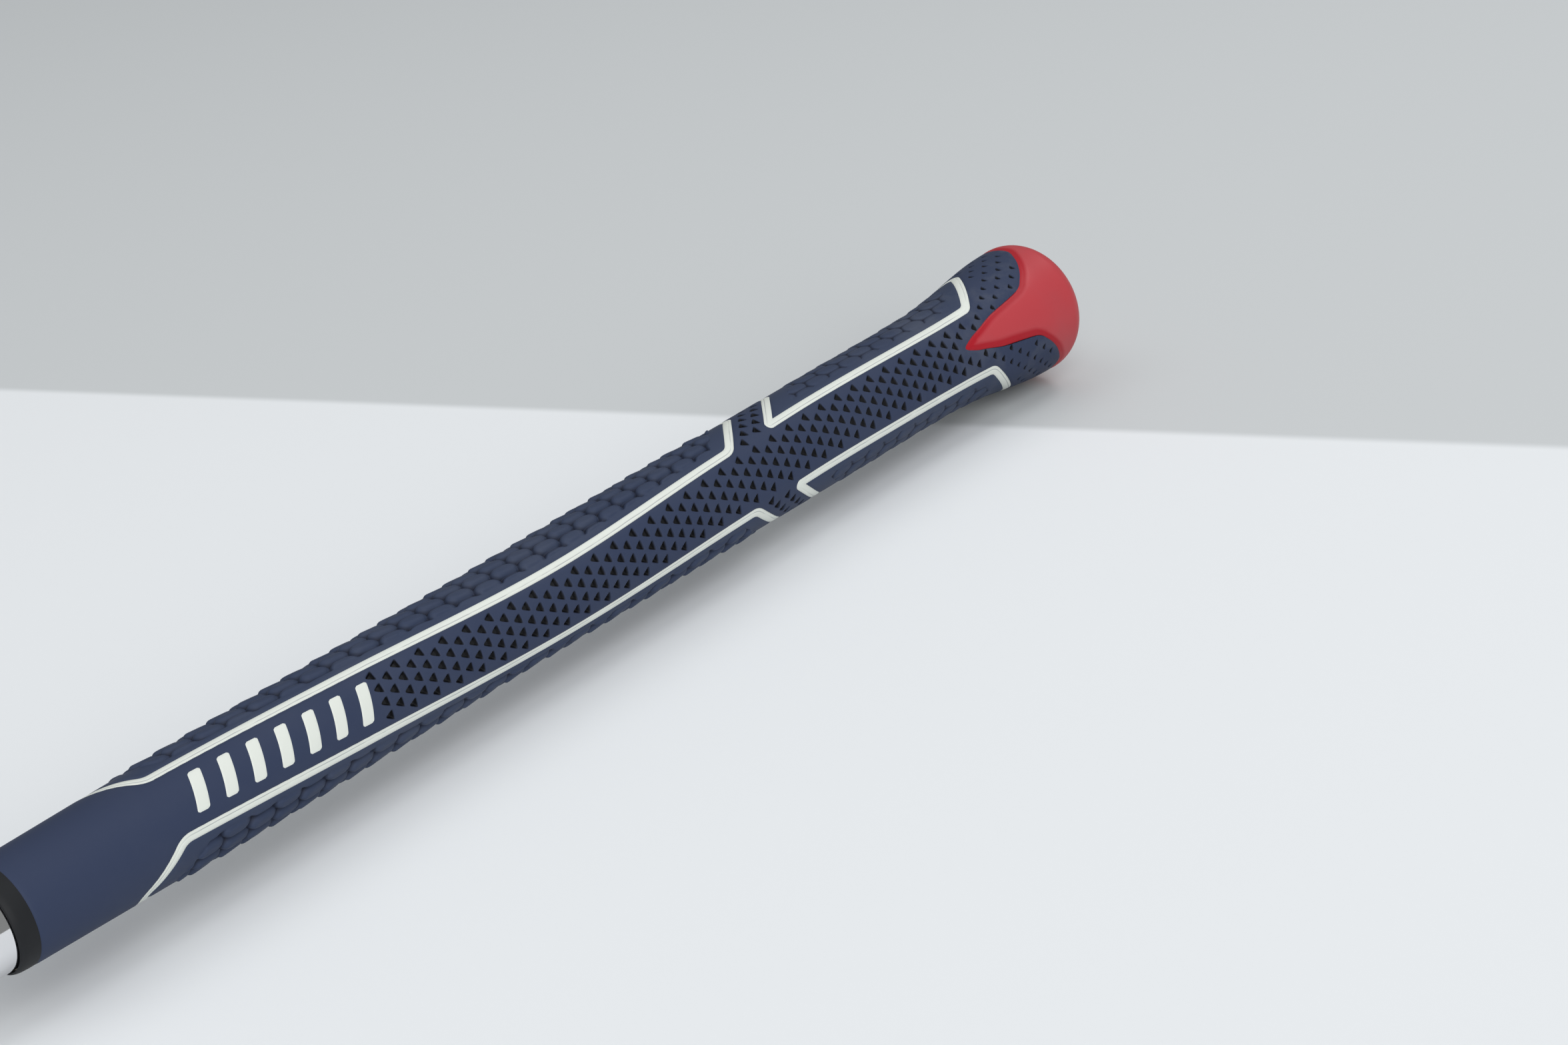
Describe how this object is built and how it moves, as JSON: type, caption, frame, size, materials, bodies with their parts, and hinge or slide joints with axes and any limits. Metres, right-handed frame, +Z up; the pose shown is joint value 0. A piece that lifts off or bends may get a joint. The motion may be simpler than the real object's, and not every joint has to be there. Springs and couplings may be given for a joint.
{
  "type": "lob wedge",
  "caption": "Steel-shafted lob wedge with a perforated slip-on rubber grip, flared end cap, grooved high-loft face and bored hosel.",
  "frame": {"origin": "centre of the butt end, where the vent hole leaves the end cap", "axes": "+X along the shaft axis from the head to the butt, +Z up as the club lies on its sole and back, the grip's front strip faces -Y and 26 degrees up"},
  "size_m": [0.9175, 0.0961, 0.0458],
  "materials": {
    "rubber_black": "matte, fine moulded texture",
    "rubber_navy": "matte, perforated",
    "panel_navy": "matte, moulded scales",
    "cap_red": "satin",
    "line_white": "satin paint in a shallow groove",
    "bar_white": "satin paint",
    "tape": "paper-backed adhesive",
    "shaft_chrome": "bright plating",
    "head_chrome": "satin plating",
    "plug_brass": "turned",
    "ferrule_black": "polished",
    "ring_silver": "bright",
    "glue": "cured epoxy"
  },
  "bodies": {
    "root": {"grip_core": "rubber_black", "grip_skin": "rubber_navy", "end_cap": "cap_red", "lower_panel_left": "panel_navy", "lower_panel_right": "panel_navy", "upper_panel_left": "panel_navy", "upper_panel_right": "panel_navy", "white_line_lower_left": "line_white", "white_line_lower_right": "line_white", "white_line_upper_left": "line_white", "white_line_upper_right": "line_white", "front_bars": "bar_white", "grip_tape": "tape", "shaft": "shaft_chrome", "tip_plug": "plug_brass", "ferrule": "ferrule_black", "ferrule_ring": "ring_silver", "hosel_glue": "glue", "wedge_head": "head_chrome"}
  },
  "joints": []
}
